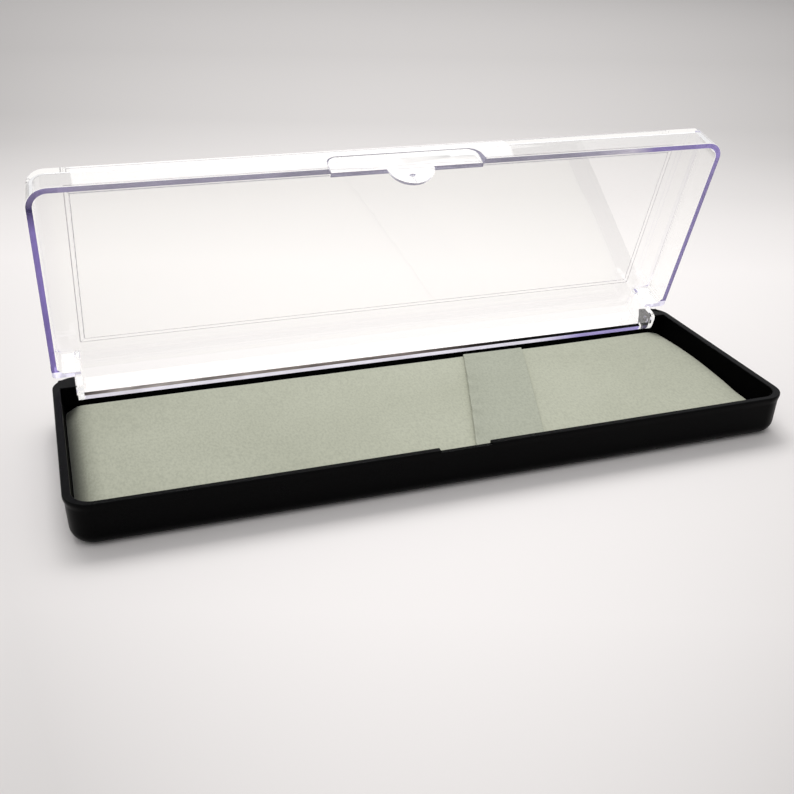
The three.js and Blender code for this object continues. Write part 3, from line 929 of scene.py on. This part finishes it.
def swell(obj):
    """Cloth with air pressure inside, run ten times as large as life and capped point by point."""
    move_vertices(obj, lambda p: p * SIM_SCALE)
    mod = obj.modifiers.new("remesh", "REMESH")
    mod.mode = "VOXEL"
    mod.voxel_size = VOXEL * SIM_SCALE * MM
    apply_all(obj)
    start = [v.co / (SIM_SCALE * MM) for v in obj.data.vertices]
    pinned = obj.vertex_groups.new(name="pin")
    low = COVER_LOW.z + 0.9
    pinned.add([i for i, p in enumerate(start) if p.z < low], 1.0, "REPLACE")
    cloth = obj.modifiers.new("cloth", "CLOTH")
    settings = cloth.settings
    settings.quality = 6
    settings.mass = 0.3
    settings.tension_stiffness = settings.compression_stiffness = 12
    settings.shear_stiffness = 6
    settings.bending_stiffness = 0.6
    settings.use_pressure = True
    settings.uniform_pressure_force = 4.0
    settings.vertex_group_mass = "pin"
    settings.effector_weights.gravity = 0
    scene = bpy.context.scene
    scene.frame_start, scene.frame_end = 1, SIM_FRAMES
    cloth.point_cache.frame_start, cloth.point_cache.frame_end = 1, SIM_FRAMES
    for step in range(1, SIM_FRAMES + 1):
        scene.frame_set(step)
    apply_all(obj)
    scene.frame_set(1)
    for v, p in zip(obj.data.vertices, start):
        swelling = v.co / (SIM_SCALE * MM) - p
        limit = crown_cap(p)
        if swelling.length > limit:
            swelling *= limit / swelling.length
        v.co = (p + swelling) * MM
    return obj


def settle(obj):
    """Low waves in the glued pad, a left end that sinks and a right end that pushes up and out."""
    bulge_from, bulge_length = 62.0, 21.8
    bulge_middle, bulge_half = 8, 22
    sink_from = -81.0

    def shape(p):
        above = p.z - COVER_LOW.z - COVER_FOOT
        along = max(0.0, p.x - bulge_from) / bulge_length
        bulge = along ** 2 * max(0.0, 1 - ((p.y - bulge_middle) / bulge_half) ** 2)
        out = 0.7 * bulge * min(1.0, max(0.0, above + COVER_FOOT) / COVER_FOOT)
        wall = HALF_X - WALL_X - TAPER * (RIM_Z - p.z) - 0.05
        x = max(-wall, min(wall, p.x + out))
        if above < 0:
            return Vector((x, p.y, p.z))
        wave = noise.noise(Vector((p.x / 17, p.y / 13, 0.3))) * 0.14
        left = max(0.0, sink_from - p.x)
        drop = min(0.115 * left * left, 0.6 * above)
        return Vector((x, p.y, p.z + (wave + 0.6 * bulge) * min(1.0, above / 1.5) - drop))

    return move_vertices(obj, shape)


def build_pad():
    """The insert's outer skin."""
    pad = pad_blank()
    swell(pad)
    smooth = pad.modifiers.new("smooth", "SMOOTH")
    smooth.factor = 0.5
    smooth.iterations = 3
    apply_all(pad)
    settle(pad)
    return pad


def build_foam(pad):
    """The core: the pad's shape, further in by CORE_INSET."""
    foam = bpy.data.objects.new("foam_core", pad.data.copy())
    bpy.context.scene.collection.objects.link(foam)
    floor = box_mm("insert_foam")[0].z
    normals = [v.normal.copy() for v in foam.data.vertices]
    for v, normal in zip(foam.data.vertices, normals):
        p = v.co / MM - normal * CORE_INSET
        p.x = max(p.x, -COVER_HIGH.x + 1.5)
        p.z = max(p.z, floor + 0.02)
        v.co = p * MM
    return soften(foam, 80, False)


def build_cover(pad):
    """The velour is the pad's skin, open underneath."""
    bm = bmesh.new()
    bm.from_mesh(pad.data)
    low = (COVER_LOW.z + 0.35) * MM
    bmesh.ops.delete(bm, geom=[f for f in bm.faces if f.calc_center_median().z < low], context="FACES")
    bm.to_mesh(pad.data)
    bm.free()
    thick = pad.modifiers.new("thick", "SOLIDIFY")
    thick.thickness = 0.45 * MM
    thick.offset = -1
    apply_all(pad)
    sub = pad.modifiers.new("fine", "SUBSURF")
    sub.levels = sub.render_levels = 1
    apply_all(pad)
    pad.name = "velour_cover"
    return soften(pad, 80, False)


BAND_HALF = 8.5
BAND_SLANT = math.radians(18.7)
BAND_CENTRE = 22.6
BAND_EDGE_ROUND = 1.9
BAND_THICK = 0.38


def band_profile():
    """(y, z) points of the band's path: up one long edge of the pad, across its top and down the other."""
    edge_y = COVER_HIGH.y + 0.4
    foot = BAND_LOW.z + 0.2
    top = COVER_HIGH.z + 0.4
    radius = BAND_EDGE_ROUND
    rise = [(-edge_y, foot + (top - radius - foot) * k / 4) for k in range(4)]
    for k in range(9):
        a = math.radians(180 - 90 * k / 8)
        rise.append((-edge_y + radius + radius * math.cos(a), top - radius + radius * math.sin(a)))
    flat = edge_y - radius
    across = [(-flat + 2 * flat * k / 48, top) for k in range(1, 48)]
    return rise + across + [(-y, z) for y, z in reversed(rise)]


def build_band(pad):
    """A cut strip of the velour laid across the pad at a slant and turned down over both its long edges.

    It returns the band and the length that it was cut to.
    """
    tree = BVHTree.FromObject(pad, bpy.context.evaluated_depsgraph_get())
    profile = band_profile()
    columns = 20
    verts = []
    for y, z in profile:
        for k in range(columns + 1):
            across = k / columns * 2 - 1
            x = BAND_CENTRE + y * math.tan(BAND_SLANT) + across * BAND_HALF / math.cos(BAND_SLANT)
            verts.append(band_point(tree, Vector((x, y, z)), across))
    faces = []
    for r in range(len(profile) - 1):
        for k in range(columns):
            a = r * (columns + 1) + k
            faces.append([a, a + 1, a + columns + 2, a + columns + 1])
    band = mesh_object("velour_band", verts, faces)
    length = sum(math.dist(a, b) for a, b in zip(profile, profile[1:])) / math.cos(BAND_SLANT)
    thick = band.modifiers.new("thick", "SOLIDIFY")
    thick.thickness = BAND_THICK * MM
    thick.offset = 1
    apply_all(band)
    rounding = band.modifiers.new("round", "BEVEL")
    rounding.width = 0.1 * MM
    rounding.segments = 2
    rounding.limit_method = "ANGLE"
    rounding.angle_limit = math.radians(60)
    apply_all(band)
    return soften(band, 50, False), length


def band_point(tree, p, across):
    """The place on the cover nearest to p, lifted a little: ragged at the left, curling at the right."""
    near, normal, _, _ = tree.find_nearest(p * MM)
    lift = 0.12
    if p.z > COVER_HIGH.z:
        ragged = 1.0 + 0.7 * noise.noise(Vector((p.y / 3.5, 4.2, 0.7)))
        flat = 1 - (p.y / COVER_HIGH.y) ** 4
        lift += flat * (ragged * max(0.0, -across) ** 3 + 0.36 * max(0.0, across) ** 8)
    return near / MM + normal * lift


# ---------------------------------------------------------------- build



def give(obj, *materials):
    """Puts materials in the object's slots, in order."""
    obj.data.materials.clear()
    for material in materials:
        obj.data.materials.append(material)


tray = build_tray()
give(tray, black_plastic(), shaded_black_copy())
mark_inside(tray)
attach(tray, CASE)
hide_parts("tray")

lid = build_lid()
give(lid, clear_plastic(), edge_plastic(), step_plastic(), foot_plastic())
mark_edges(lid)
open_lid(lid)
soften(lid)
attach(lid, LID_BODY)
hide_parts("lid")

pad = build_pad()
foam = build_foam(pad)
cover = build_cover(pad)
band, band_length = build_band(cover)

give(foam, foam_material())
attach(foam, CASE)
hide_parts("insert_foam")

give(cover, velour("velour", srgb(187, 189, 170), srgb(193, 195, 176)))
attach(cover, CASE)
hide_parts("insert_cover")

give(band, velour("band_velour", srgb(177, 180, 163), srgb(181, 184, 167)))
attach(band, CASE)
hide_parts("band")

give(frame["nodes"]["insert_board"], board_material())

# ---------------------------------------------------------------- floor, light and camera


CAMERA_PLACE = Vector((-81.13, -214.21, 125.22))
CAMERA_YAW, CAMERA_PITCH, CAMERA_ROLL = 0.33663, 0.47256, 0.02085
CAMERA_LENS, CAMERA_SENSOR = 46.21, 36
POOL_TURN = 0.337


def floor_material():
    """A pale sweep with a pool of light painted on it, a little behind the case and fading to both sides."""
    n = Nodes("floor")
    place = n.axes()
    x, y = place["X"], place["Y"]
    sine, cosine = math.sin(POOL_TURN), math.cos(POOL_TURN)
    away = n.math("ADD", n.math("MULTIPLY", x, sine), n.math("MULTIPLY", y, cosine))
    aside = n.math("SUBTRACT", n.math("MULTIPLY", x, cosine), n.math("MULTIPLY", y, sine))
    near, far = -0.15, 1.05

    def along(stops):
        share = n.math("DIVIDE", n.math("SUBTRACT", away, near), far - near)
        return n.ramp(share, [((at - near) / (far - near), colour) for at, colour in stops])

    pool = along([(-0.14, 0.80), (-0.075, 0.95), (0.0, 0.97), (0.12, 0.96), (0.22, 0.77), (0.36, 0.61),
                  (0.60, 0.55), (1.0, 0.59)])
    drop = along([(-0.12, 0.10), (0.0, 0.11), (0.18, 0.10), (0.24, 0.15), (0.30, 0.23), (0.9, 0.15)])
    reach = n.math("MAXIMUM", n.math("ADD", away, 0.229), 0.11)
    share = n.math("DIVIDE", aside, n.math("MULTIPLY", reach, 0.4))
    square = n.math("MINIMUM", n.math("MULTIPLY", share, share), 1.6)
    level = n.math("MULTIPLY", pool, n.math("SUBTRACT", 1.0, n.math("MULTIPLY", drop, square)))
    colour = n.mix(1.0, level, (1.0, 0.965, 0.945), "MULTIPLY")
    inputs = {"Base Color": colour, "Roughness": 0.9, "Specular IOR Level": 0.1}
    return n.surface(n.add("ShaderNodeBsdfPrincipled", inputs))


def build_floor():
    half, z = 4000, -0.02
    corners = [(-half, -half, z), (half, -half, z), (half, half, z), (-half, half, z)]
    floor = mesh_object("floor", corners, [[0, 1, 2, 3]])
    floor.data.materials.append(floor_material())


def build_world():
    """A pale room: brighter to look at, and in mirrors, than the little light it casts."""
    world = bpy.data.worlds.new("room")
    bpy.context.scene.world = world
    world.use_nodes = True
    nodes, links = world.node_tree.nodes, world.node_tree.links
    back = nodes["Background"]
    back.inputs["Color"].default_value = (0.98, 0.98, 1.0, 1)
    path = nodes.new("ShaderNodeLightPath")
    level = nodes.new("ShaderNodeMapRange")
    level.inputs["To Min"].default_value = 0.82
    level.inputs["To Max"].default_value = 0.4
    links.new(path.outputs["Is Diffuse Ray"], level.inputs["Value"])
    links.new(level.outputs["Result"], back.inputs["Strength"])


def area_light(name, place, target, size, power, mirrored=True):
    """A soft light in metres and watts. Only a mirrored one shows in the plastic."""
    data = bpy.data.lights.new(name, "AREA")
    data.shape = "RECTANGLE"
    data.size, data.size_y = size
    data.energy = power
    light = bpy.data.objects.new(name, data)
    bpy.context.scene.collection.objects.link(light)
    light.location = place
    light.rotation_euler = (Vector(target) - Vector(place)).to_track_quat("-Z", "Y").to_euler()
    light.visible_glossy = mirrored
    light.visible_transmission = mirrored


def build_camera():
    yaw, pitch, roll = CAMERA_YAW, CAMERA_PITCH, CAMERA_ROLL
    forward = Vector((math.sin(yaw) * math.cos(pitch), math.cos(yaw) * math.cos(pitch), -math.sin(pitch)))
    level = Vector((math.cos(yaw), -math.sin(yaw), 0))
    upright = level.cross(forward)
    right = math.cos(roll) * level + math.sin(roll) * upright
    up = math.cos(roll) * upright - math.sin(roll) * level
    data = bpy.data.cameras.new("camera")
    data.lens = CAMERA_LENS
    data.sensor_width = CAMERA_SENSOR
    data.clip_start, data.clip_end = 0.01, 20
    camera = bpy.data.objects.new("camera", data)
    bpy.context.scene.collection.objects.link(camera)
    turn = Matrix((right, up, -forward)).transposed().to_4x4()
    camera.matrix_world = Matrix.Translation(CAMERA_PLACE * MM) @ turn
    bpy.context.scene.camera = camera


build_floor()
build_world()
area_light("softbox", (0.25, 0.36, 0.72), (0.25, 0.36, 0.0), (0.8, 0.3), 1.66)
area_light("strip_light", (0.2, 0.68, 0.72), (0.2, 0.68, 0.0), (0.52, 0.34), 0.65)
area_light("key", (-0.05, 0.75, 1.35), (0.0, 0.1, 0.0), (1.0, 0.8), 8.1, mirrored=False)
area_light("fill", (-0.3, -0.5, 1.3), (0.0, 0.0, 0.0), (1.4, 1.2), 4.8, mirrored=False)
build_camera()

# Clear plastic needs many bounces to come out clear.
scene = bpy.context.scene
scene.view_settings.view_transform = "Standard"
scene.cycles.max_bounces = 24
scene.cycles.transmission_bounces = 20
scene.cycles.transparent_max_bounces = 24
scene.cycles.use_denoising = True
